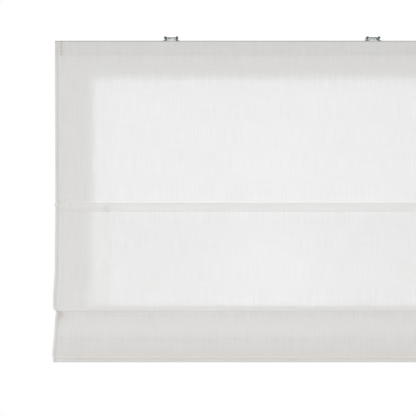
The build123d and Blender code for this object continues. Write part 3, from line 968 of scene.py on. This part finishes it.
def dress_cloth():
    """The cloth in four pieces that part at the pocket seams, with their stitching."""
    cloth = cloth_material()
    thread = thread_material(*SEWING_FINISH)
    tack_thread = thread_material(*TACK_FINISH)
    ring_thread = thread_material(*RING_FINISH)
    spans = [
        ("cloth_top", 0, SEAMS[0], "headrail", "upper_batten"),
        ("cloth_upper_fold", SEAMS[0], SEAMS[1], "upper_batten", "middle_batten"),
        ("cloth_lower_fold", SEAMS[1], SEAMS[2], "middle_batten", "lower_batten"),
        ("cloth_flap", SEAMS[2], END, "lower_batten", None),
    ]
    for number, (name, start, end, body_a, body_b) in enumerate(spans):
        piece, s = cloth_piece(name, start, end, cloth)
        hem, hem_s = rows_down(f"{name}_side_stitches", start, end, SIDE_SEAM, thread)
        for part, lengths in ((piece, s), (hem, hem_s)):
            if body_b:
                share_out(part)
            else:
                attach(part, body_a)
        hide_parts("face_fabric")
    bodies = ["upper_batten", "middle_batten", "lower_batten"]
    for number, (top, seam, body) in enumerate(zip(TOPS, SEAMS, bodies), start=1):
        rows = (("top", top + POCKET_TOP_STITCH_DROP), ("foot", seam - POCKET_FOOT_STITCH_RISE))
        for place, level in rows:
            sew(row_across(f"pocket_{number}_{place}_stitches", level, thread), body)
        sew(ring_tacks(f"ring_tacks_{number}", top + RING_DROP, ring_thread), body)
    sew(row_across("bottom_hem_stitches", BOTTOM_SEAM, thread, outer=0), "lower_batten")
    for name, inset in (("outer", TACK_INSET - TACK_ROW_GAP / 2), ("inner", TACK_INSET + TACK_ROW_GAP / 2)):
        row = f"header_end_stitches_{name}"
        tack, _ = rows_down(row, TACK_START, RAIL_END, inset, tack_thread, TACK_STITCH, TACK_GAP)
        sew(tack, "headrail")


# Stage


def set_camera():
    """Camera straight in front, with the lens that fills the frame at the plane of the cloth."""
    data = bpy.data.cameras.new("camera")
    data.sensor_width = SENSOR
    data.lens = SENSOR * VIEW_DISTANCE / (FRAME_PIXELS * PIXEL_SIZE)
    camera = bpy.data.objects.new("camera", data)
    camera.location = (VIEW_X, VIEW_PLANE_Y - VIEW_DISTANCE, VIEW_Z)
    camera.rotation_euler = (math.pi / 2, 0, 0)
    bpy.context.scene.collection.objects.link(camera)
    bpy.context.scene.camera = camera


def area_light(name, place, target, size, power):
    """A rectangular light at a place, turned to a target."""
    data = bpy.data.lights.new(name, "AREA")
    data.shape = "RECTANGLE"
    data.size, data.size_y = size
    data.energy = power
    light = bpy.data.objects.new(name, data)
    light.location = place
    light.rotation_euler = (Vector(target) - Vector(place)).to_track_quat("-Z", "Y").to_euler()
    light.visible_camera = False
    bpy.context.scene.collection.objects.link(light)
    return data


def set_light():
    """Soft light from the room side, and daylight through a window close behind the cloth."""
    for name, half, top, bottom, share in PANES:
        middle = (top + bottom) / 2
        size = (2 * half, top - bottom)
        power = WINDOW_GLOW * share * size[0] * size[1]
        pane = area_light(name, (0, WINDOW_Y, middle), (0, WINDOW_Y - 1, middle), size, power)
        pane.spread = WINDOW_SPREAD
        pane.color = WINDOW_TINT
    area_light("room", ROOM_PLACE, ROOM_TARGET, ROOM_SIZE, FRONT_POWER)
    world = bpy.data.worlds.new("studio")
    bpy.context.scene.world = world
    world.use_nodes = True
    tree = world.node_tree
    background = tree.nodes["Background"]
    background.inputs["Color"].default_value = (1, 1, 1, 1)
    strength = join(tree, "MAXIMUM", seen_rays(tree), WORLD_LIGHT)
    tree.links.new(strength, background.inputs["Strength"])


def set_floor():
    """Pale round floor under the blind, that fades out to the background."""
    angles = np.arange(FLOOR_SIDES) * 2 * math.pi / FLOOR_SIDES
    rim = [(FLOOR_RADIUS * math.cos(a), FLOOR_RADIUS * math.sin(a), FLOOR_Z) for a in angles]
    n = Nodes("floor")
    place = n.add("ShaderNodeTexCoord").outputs["Object"]
    flat = n.add("ShaderNodeVectorMath", operation="MULTIPLY")
    flat.inputs[1].default_value = (1, 1, 0)
    n.link(place, flat.inputs[0])
    reach = n.add("ShaderNodeVectorMath", operation="LENGTH")
    n.link(flat.outputs["Vector"], reach.inputs[0])
    fade = n.add("ShaderNodeMapRange", interpolation_type="SMOOTHSTEP")
    fade.inputs["From Min"].default_value = FLOOR_CLEAR_RADIUS
    fade.inputs["From Max"].default_value = FLOOR_RADIUS
    n.link(reach.outputs["Value"], fade.inputs["Value"])
    clear = n.add("ShaderNodeBsdfTransparent")
    mix = n.add("ShaderNodeMixShader")
    n.link(fade.outputs[0], mix.inputs[0])
    n.link(n.shader.outputs[0], mix.inputs[1])
    n.link(clear.outputs[0], mix.inputs[2])
    n.link(mix.outputs[0], n.output.inputs["Surface"])
    n.shader.inputs["Base Color"].default_value = (0.85, 0.85, 0.84, 1)
    n.shader.inputs["Roughness"].default_value = 0.9
    n.shader.inputs["Emission Color"].default_value = (1, 1, 1, 1)
    n.link(n.math("MULTIPLY", seen_rays(n.tree), FLOOR_GLOW), n.shader.inputs["Emission Strength"])
    floor = mesh_object("floor", rim, [tuple(range(FLOOR_SIDES))], n.material)


set_camera()
finishes = finish_nodes()
dress_cloth()
for side_name, direction in (("left", -1), ("right", 1)):
    lift_cord(direction, side_name, finishes["cord"])
set_light()
set_floor()
bpy.context.scene.view_settings.view_transform = "Standard"
